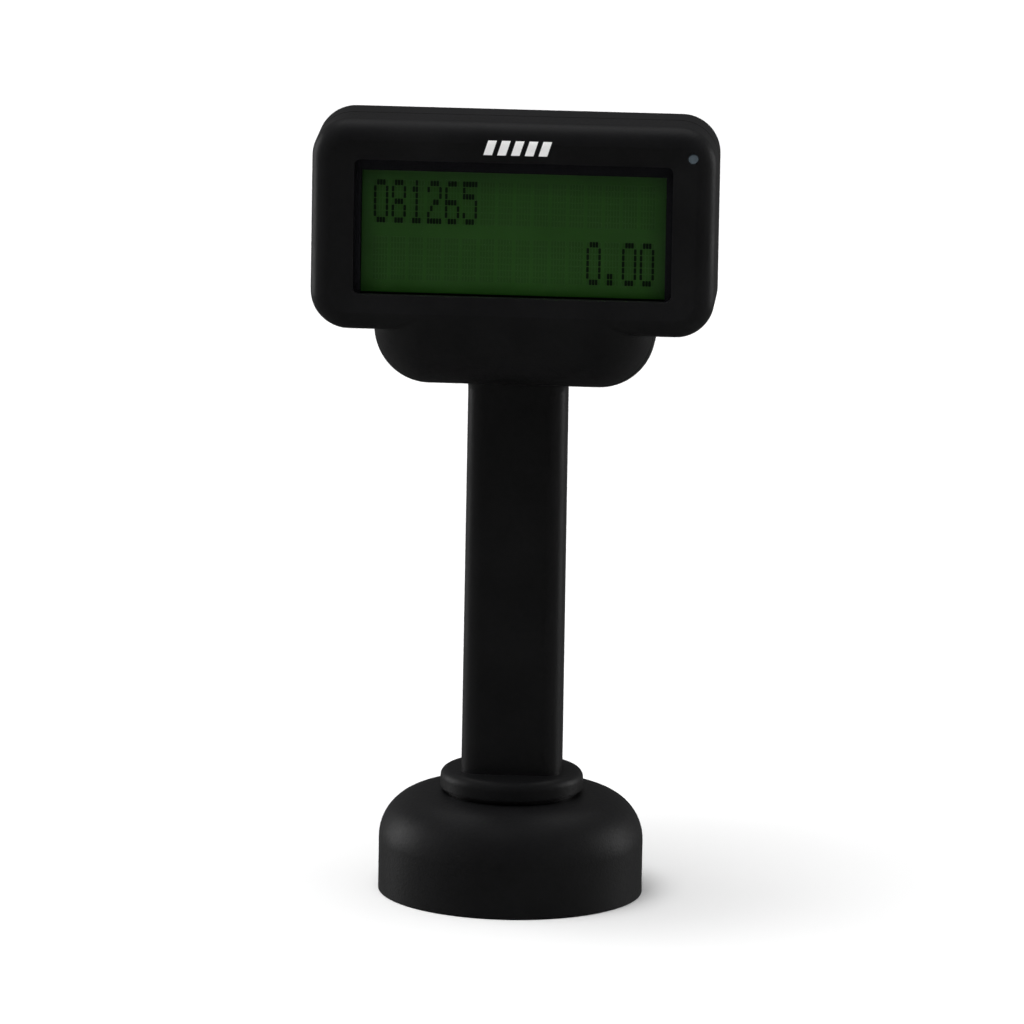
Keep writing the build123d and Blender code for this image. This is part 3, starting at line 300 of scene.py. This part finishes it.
def solder_mask(name):
    """Green-masked board: tracks show through the mask as a paler, raised net."""
    s = Shader(name, (0.012, 0.085, 0.03), 0.3, Coat_Weight=0.4, Coat_Roughness=0.15)
    tracks = s.node("ShaderNodeTexBrick", offset=0.5)
    shape = {"Scale": 160.0, "Mortar Size": 0.03, "Brick Width": 0.9, "Row Height": 0.22}
    for socket, value in shape.items():
        tracks.inputs[socket].default_value = value
    s.link(s.stretched((1, 1, 1), (math.pi / 2, 0, 0)), tracks.inputs["Vector"])
    net = tracks.outputs["Fac"]
    s.drive(
        Base_Color=s.mix(net, (0.010, 0.075, 0.026), (0.03, 0.16, 0.05)),
        Roughness=s.vary(s.noise(5 * MM, detail=3.0), 0.24, 0.38),
        Normal=s.bumps(net, 0.03 * MM),
    )
    return s.material


def clear_window(name):
    """Acrylic window: clear over the readout, glossy in front, with a black border inked on its back, deepest
    at the top, where it is painted shade under the bezel's upper edge.
    """
    s = Shader(name, (0.006, 0.006, 0.007), 0.06, IOR=ACRYLIC_IOR)
    x, y, z = s.axes()
    beside = s.maths("SUBTRACT", s.maths("ABSOLUTE", x), VIEW_WIDTH / 2)
    off_centre = s.maths("ABSOLUTE", s.maths("SUBTRACT", z, VIEW_CENTRE_Z))
    above = s.maths("SUBTRACT", off_centre, VIEW_HEIGHT / 2)
    # the black border: print on the lens, and at the top painted shade under the bezel's upper edge
    print_and_painted_shade = s.maths("GREATER_THAN", s.maths("MAXIMUM", beside, above), 0.0)
    sheen = s.node("ShaderNodeFresnel")
    sheen.inputs["IOR"].default_value = ACRYLIC_IOR
    front = s.maths("LESS_THAN", y, LENS_FRONT_Y + LENS_SKIN)
    gloss = s.maths("MULTIPLY", sheen.outputs["Fac"], front)
    smears = s.noise(9 * MM, detail=5.0, roughness=0.6)
    s.drive(Roughness=s.span(smears, 0.4, 0.7, 0.05, 0.16))
    clear = s.node("ShaderNodeBsdfTransparent")
    clear.inputs["Color"].default_value = (0.93, 0.96, 0.93, 1)
    both = s.node("ShaderNodeMixShader")
    s.link(s.maths("MAXIMUM", gloss, print_and_painted_shade), both.inputs["Fac"])
    s.link(clear.outputs["BSDF"], both.inputs[1])
    s.link(s.principled.outputs["BSDF"], both.inputs[2])
    s.link(both.outputs["Shader"], s.output.inputs["Surface"])
    return s.material


def readout_green(name, share=1.0):
    """The face of the backlit cell: green, brightest low in the middle and dim towards its rim, the dimming
    being painted shade of the recess and the bezel's upper edge.
    """
    s = Shader(name, CELL_GREEN_PAINTED_SHADE, 0.34, Specular_IOR_Level=0.35, Emission_Strength=share)
    x, _, z = s.axes()
    aside = s.maths("DIVIDE", s.maths("ABSOLUTE", x), VIEW_WIDTH / 2)
    up = s.maths("DIVIDE", s.maths("SUBTRACT", z, VIEW_CENTRE_Z - VIEW_HEIGHT / 2), VIEW_HEIGHT)
    clouds = s.vary(s.noise(11 * MM, detail=2.0), 0.88, 1.06)
    # painted shade: darker towards the rim and the top, and slowly darker upwards and sideways, standing for
    # the shade of the recess and the bezel's upper edge
    rim = s.maths("MULTIPLY", s.span(aside, 1.0, 0.86, 0.45, 1.0), s.span(up, 1.0, 0.80, 0.35, 1.0))
    painted_slope_shade = s.maths("MULTIPLY", s.span(up, 0.0, 1.0, 1.0, 0.72), s.span(aside, 0.1, 1.0, 1.0, 0.82))
    backlight_and_painted_shade = s.maths("MULTIPLY", s.maths("MULTIPLY", rim, painted_slope_shade), clouds)
    brushed = s.noise(0.35 * MM, detail=2.0, place=s.stretched((0.15, 1, 2.0)))
    # shaded and lit copies of the green; base colour and backlight both follow the painted shade
    dim = tuple(c * share for c in CELL_GREEN_PAINTED_SHADE)
    lit = tuple(c * share for c in CELL_GREEN_PAINTED_LIT)
    s.drive(
        Base_Color=s.mix(backlight_and_painted_shade, dim, lit),
        Emission_Color=s.mix(backlight_and_painted_shade, BACKLIT_UNDER_PAINTED_SHADE, BACKLIT_BRIGHT),
        Roughness=s.vary(brushed, 0.28, 0.40),
        Normal=s.bumps(brushed, 0.003 * MM),
    )
    return s.material


def printed_dot(name, colour):
    """A switched segment of the cell, a little uneven from dot to dot."""
    roughness = 0.35
    s = Shader(name, colour, roughness, Specular_IOR_Level=0.3)
    uneven = s.noise(2.5 * MM, detail=2.0)
    s.drive(
        Base_Color=s.mix(s.vary(uneven), colour, tuple(c * 1.3 for c in colour)),
        Roughness=s.vary(uneven, roughness - 0.05, roughness + 0.05),
    )
    return s.material


def pad_ink(name):
    """Pad-printed white ink: nearly opaque, thinner in specks, dull."""
    s = Shader(name, INK_WHITE, 0.55)
    thin = s.noise(0.35 * MM, detail=3.0, roughness=0.65)
    s.drive(
        Base_Color=s.mix(s.span(thin, 0.62, 0.8), INK_WHITE, (0.45, 0.45, 0.45)),
        Roughness=s.vary(thin, 0.48, 0.62),
        Normal=s.bumps(thin, 0.01 * MM),
    )
    return s.material


def light_guide(name, colour, roughness=0.18):
    """Clear moulded plastic, seen as its own milky tint."""
    s = Shader(name, colour, roughness, Coat_Weight=0.5, Coat_Roughness=0.08)
    cloud = s.noise(1.1 * MM, detail=3.0)
    s.drive(
        Base_Color=s.mix(s.vary(cloud), colour, tuple(c * 0.72 for c in colour)),
        Roughness=s.vary(cloud, roughness - 0.06, roughness + 0.08),
    )
    return s.material


def display_glass(name):
    """The cell's bare glass, hidden but for its edges."""
    s = Shader(name, (0.55, 0.68, 0.58), 0.05, Transmission_Weight=0.9, IOR=1.52)
    s.drive(Roughness=s.vary(s.noise(6 * MM, detail=3.0), 0.03, 0.09))
    return s.material


FINISHES = {
    "housing": lambda: moulded_black("housing_black"),
    "lens": lambda: clear_window("window_clear"),
    "cell_glass": lambda: display_glass("cell_glass"),
    "polariser": lambda: readout_green("readout_green"),
    "backlight": lambda: light_guide("backlight_green", (0.2, 0.45, 0.1)),
    "display_frame": lambda: sheet_metal("frame_black", (0.035, 0.035, 0.037), 0.5),
    "foam": lambda: soft_rubber("foam_black", (0.010, 0.010, 0.010)),
    "silicone": lambda: soft_rubber("silicone_grey", (0.42, 0.42, 0.40), roughness=0.55),
    "circuit_board": lambda: solder_mask("board_green"),
    "connector": lambda: moulded_black("connector_black", grain=0.2 * MM, roughness=(0.42, 0.55)),
    "header": lambda: pale_nylon("header_nylon", (0.72, 0.69, 0.60)),
    "lead": lambda: soft_rubber("lead_black", (0.012, 0.012, 0.013), relief=0.01 * MM, roughness=0.5),
    "led": lambda: light_guide("led_yellow", (0.7, 0.62, 0.3)),
    "light_pipe": lambda: light_guide("light_pipe_clear", (0.075, 0.095, 0.110), 0.12),
    "plated_steel": lambda: sheet_metal("plated_steel", (0.62, 0.61, 0.58), 0.32),
    "spring_steel": lambda: sheet_metal("spring_steel", (0.25, 0.25, 0.26), 0.38),
    "screw_steel": lambda: sheet_metal("screw_black", (0.10, 0.10, 0.105), 0.36),
    "brass": lambda: sheet_metal("brass", (0.72, 0.50, 0.20), 0.28),
    "acetal": lambda: moulded_black("acetal_black", grain=0.5 * MM, relief=0.004 * MM, roughness=(0.3, 0.38)),
}


def finish_cad_nodes():
    """Every CAD node gets the material of its slot."""
    made = {slot: build() for slot, build in FINISHES.items()}
    for row in frame["record"]["subparts"]:
        mesh = frame["nodes"][row["node"]].data
        mesh.materials.clear()
        mesh.materials.append(made[row["material_slot"]])


# ================================================================ readout: dot-matrix characters
ROWS_Z = (VIEW_CENTRE_Z + 5.7 * MM, VIEW_CENTRE_Z - 5.0 * MM)
CELL_PITCH = 3.3 * MM
CELLS_ACROSS = 16
CELLS_SHIFT = 0.3 * MM
CELLS_LEFT = CELLS_SHIFT - CELL_PITCH * CELLS_ACROSS / 2
DOT_PITCH_X = 0.55 * MM
DOT_PITCH_Z = 1.18 * MM
DOT_WIDTH = 0.49 * MM
DOT_HEIGHT = 1.06 * MM
DOT_THICK = 0.03 * MM
DOT_GAP = 0.002 * MM
DOT_CORNER = 0.2  # share of a dot's width that its corners are cut by
DOT_TAPER_X = 0.94
DOT_TAPER_Z = 0.97
DOTS_ACROSS = 5
DOTS_UP = 7

# A character is seven rows of five dots, from the top; a row's bits read from left to right.
DIGITS = {
    "0": (0b01110, 0b10001, 0b10001, 0b10001, 0b10001, 0b10001, 0b01110),
    "1": (0b00100, 0b01100, 0b00100, 0b00100, 0b00100, 0b00100, 0b01110),
    "2": (0b01110, 0b10001, 0b00001, 0b00110, 0b01000, 0b10000, 0b11111),
    "5": (0b11111, 0b10000, 0b11110, 0b00001, 0b00001, 0b10001, 0b01110),
    "6": (0b01110, 0b10000, 0b10000, 0b11110, 0b10001, 0b10001, 0b01110),
    "8": (0b01110, 0b10001, 0b10001, 0b01110, 0b10001, 0b10001, 0b01110),
    ".": (0b00000, 0b00000, 0b00000, 0b00000, 0b00000, 0b01100, 0b01100),
}
READOUT = ("081265".ljust(CELLS_ACROSS), "0.00".rjust(CELLS_ACROSS))


def new_piece(name, mesh_builder, material, body):
    """A mesh object from a bmesh, with its material, riding on a body."""
    mesh = bpy.data.meshes.new(name)
    mesh_builder.to_mesh(mesh)
    mesh_builder.free()
    mesh.materials.append(material)
    piece = bpy.data.objects.new(name, mesh)
    bpy.context.collection.objects.link(piece)
    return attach(piece, body)


def add_tile(builder, x, z, width, height, front_y, back_y):
    """A thin tile with cut corners that stands on the plane back_y and faces -Y."""
    cut = DOT_CORNER * min(width, height)
    half_w, half_h = width / 2, height / 2
    outline = []
    for sx, sz in ((1, 1), (-1, 1), (-1, -1), (1, -1)):
        along = [(sx * half_w, sz * (half_h - cut)), (sx * (half_w - cut), sz * half_h)]
        outline += along if sx * sz > 0 else along[::-1]
    front = [builder.verts.new((x + dx * DOT_TAPER_X, front_y, z + dz * DOT_TAPER_Z)) for dx, dz in outline]
    back = [builder.verts.new((x + dx, back_y, z + dz)) for dx, dz in outline]
    builder.faces.new(front)
    builder.faces.new(back[::-1])
    for i in range(len(outline)):
        j = (i + 1) % len(outline)
        builder.faces.new((front[j], front[i], back[i], back[j]))


def dot_places():
    """(x, z, lit) of every dot of every character cell."""
    for row, text in enumerate(READOUT):
        for column, character in enumerate(text):
            pattern = DIGITS.get(character, (0,) * DOTS_UP)
            for up in range(DOTS_UP):
                for over in range(DOTS_ACROSS):
                    x = CELLS_LEFT + column * CELL_PITCH + (over + 0.5) * DOT_PITCH_X
                    z = ROWS_Z[row] + ((DOTS_UP - 1) / 2 - up) * DOT_PITCH_Z
                    yield x, z, bool(pattern[up] >> (DOTS_ACROSS - 1 - over) & 1)


def make_readout():
    looks = (
        ("readout_dots_on", True, printed_dot("dot_on", DOT_ON)),
        ("readout_dots_off", False, readout_green("dot_off", GHOST_SHARE)),
    )
    for name, lit, look in looks:
        builder = bmesh.new()
        for x, z, is_lit in dot_places():
            if is_lit == lit:
                add_tile(builder, x, z, DOT_WIDTH, DOT_HEIGHT, CELL_Y - DOT_THICK, CELL_Y - DOT_GAP)
        piece = new_piece(name, builder, look, "head")


# ================================================================ generic mark: five slanted bars of ink
MARK_CENTRE = Vector((0.7 * MM, 0, HEAD_TOP - 4.4 * MM))
MARK_BARS = 5
MARK_PITCH = 2.55 * MM
MARK_BAR_WIDTH = 1.6 * MM
MARK_HEIGHT = 2.8 * MM
MARK_SLANT = 0.9 * MM
MARK_STEPS = 8
INK_THICK = 0.03 * MM
RAY_START = 10 * MM  # the rays that find the housing start this far in front of it


def housing_surface():
    """The front housing's surface, for laying ink on."""
    mesh = frame["nodes"]["front_housing"].data
    points = [v.co.copy() for v in mesh.vertices]
    return BVHTree.FromPolygons(points, [tuple(p.vertices) for p in mesh.polygons])


def make_mark():
    skin = housing_surface()
    builder = bmesh.new()
    for bar in range(MARK_BARS):
        middle = MARK_CENTRE.x + (bar - (MARK_BARS - 1) / 2) * MARK_PITCH
        sheets = {}
        for lift in (INK_THICK, -INK_THICK):
            for i in range(MARK_STEPS + 1):
                for j in range(MARK_STEPS + 1):
                    u, v = i / MARK_STEPS - 0.5, j / MARK_STEPS - 0.5
                    start = Vector((middle + u * MARK_BAR_WIDTH + v * MARK_SLANT, FACE_Y - RAY_START,
                                    MARK_CENTRE.z + v * MARK_HEIGHT))
                    hit, normal, _, _ = skin.ray_cast(start, Vector((0, 1, 0)))
                    sheets[lift > 0, i, j] = builder.verts.new(hit + normal * lift)
        for i in range(MARK_STEPS):
            for j in range(MARK_STEPS):
                for top in (True, False):
                    corners = ((i, j), (i + 1, j), (i + 1, j + 1), (i, j + 1))
                    ring = [sheets[top, *corner] for corner in corners]
                    builder.faces.new(ring if top else ring[::-1])
        rim = [(i, 0) for i in range(MARK_STEPS)] + [(MARK_STEPS, j) for j in range(MARK_STEPS)]
        rim += [(i, MARK_STEPS) for i in range(MARK_STEPS, 0, -1)]
        rim += [(0, j) for j in range(MARK_STEPS, 0, -1)]
        for a, b in zip(rim, rim[1:] + rim[:1]):
            builder.faces.new((sheets[True, *b], sheets[True, *a], sheets[False, *a], sheets[False, *b]))
    bmesh.ops.recalc_face_normals(builder, faces=builder.faces)
    piece = new_piece("mark_bars", builder, pad_ink("mark_ink"), "head")


# ================================================================ studio
LOW_FRONT = 0.04  # share of light that is left below and in front of the display
SURROUND = (0.17, 1.25)  # strength of the surroundings in front of the display and behind it
BESIDE = 2.2  # strength added towards the left and the right
SUN_ENERGY = 4.1
SUN_ANGLE = math.radians(50)
SUN_TILT = (math.radians(12), math.radians(-10), 0)
LAMP_TARGET = Vector((0, 0, 0.12))
LAMPS = (  # name, place, width and height, power
    ("left_box", (-0.8, 0.30, 0.15), (0.4, 0.5), 1.3),
    ("right_box", (0.8, 0.30, 0.15), (0.4, 0.5), 1.1),
    ("top_box", (0, 0.35, 1.3), (1.4, 1.0), 2.6),
)
FLOOR_REACH = 20.0
FLOOR_Z = -0.1 * MM
FLOOR_PALE = (0.80, 0.80, 0.80)


def area_light(name, place, size, power):
    lamp = bpy.data.lights.new(name, "AREA")
    lamp.shape = "RECTANGLE"
    lamp.size, lamp.size_y = size
    lamp.energy = power
    light = bpy.data.objects.new(name, lamp)
    bpy.context.collection.objects.link(light)
    light.location = place
    light.rotation_mode = "QUATERNION"
    light.rotation_quaternion = (LAMP_TARGET - Vector(place)).to_track_quat("-Z", "Y")


def make_floor():
    mesh = bpy.data.meshes.new("floor")
    corners = [(x * FLOOR_REACH, y * FLOOR_REACH, FLOOR_Z) for x, y in ((-1, -1), (1, -1), (1, 1), (-1, 1))]
    mesh.from_pydata(corners, [], [(0, 1, 2, 3)])
    s = Shader("floor_pale", FLOOR_PALE, 0.6, Specular_IOR_Level=0.2)
    s.drive(Roughness=s.vary(s.noise(0.2, detail=2.0), 0.55, 0.65))
    mesh.materials.append(s.material)
    floor = bpy.data.objects.new("floor", mesh)
    bpy.context.collection.objects.link(floor)
    floor.visible_glossy = False


def make_world():
    """Surroundings: bright to both sides, pale behind and above, dim in front and dark below the face."""
    world = bpy.data.worlds.new("studio")
    world.use_nodes = True
    tree = world.node_tree
    direction = tree.nodes.new("ShaderNodeSeparateXYZ")
    tree.links.new(tree.nodes.new("ShaderNodeTexCoord").outputs["Generated"], direction.inputs["Vector"])

    def ramp(axis, low, high, to_low, to_high):
        made = tree.nodes.new("ShaderNodeMapRange")
        for socket, number in zip(("From Min", "From Max", "To Min", "To Max"), (low, high, to_low, to_high)):
            made.inputs[socket].default_value = number
        tree.links.new(direction.outputs[axis], made.inputs["Value"])
        return made.outputs["Result"]

    def combine(operation, a, b):
        made = tree.nodes.new("ShaderNodeMath")
        made.operation = operation
        tree.links.new(a, made.inputs[0])
        tree.links.new(b, made.inputs[1])
        return made.outputs["Value"]

    behind = ramp("Y", -0.2, 0.5, LOW_FRONT, 1.0)
    above = ramp("Z", -0.12, 0.10, LOW_FRONT, 1.0)
    level = combine("MULTIPLY", ramp("Y", -0.8, 1.0, *SURROUND), combine("MAXIMUM", behind, above))
    left = ramp("X", -0.10, -0.75, 0.0, BESIDE)
    right = ramp("X", 0.10, 0.75, 0.0, BESIDE)
    strength = combine("ADD", level, combine("MAXIMUM", left, right))
    tree.links.new(strength, tree.nodes["Background"].inputs["Strength"])
    bpy.context.scene.world = world


def make_studio():
    make_world()
    sun = bpy.data.lights.new("sky", "SUN")
    sun.energy = SUN_ENERGY
    sun.angle = SUN_ANGLE
    sky = bpy.data.objects.new("sky", sun)
    bpy.context.collection.objects.link(sky)
    sky.rotation_euler = SUN_TILT
    sky.visible_glossy = False
    for lamp in LAMPS:
        area_light(*lamp)
    view = bpy.context.scene.view_settings
    view.view_transform = "Standard"
    view.look = "None"
    view.exposure = 0.0


make_camera()
finish_cad_nodes()
make_readout()
make_mark()
make_floor()
make_studio()
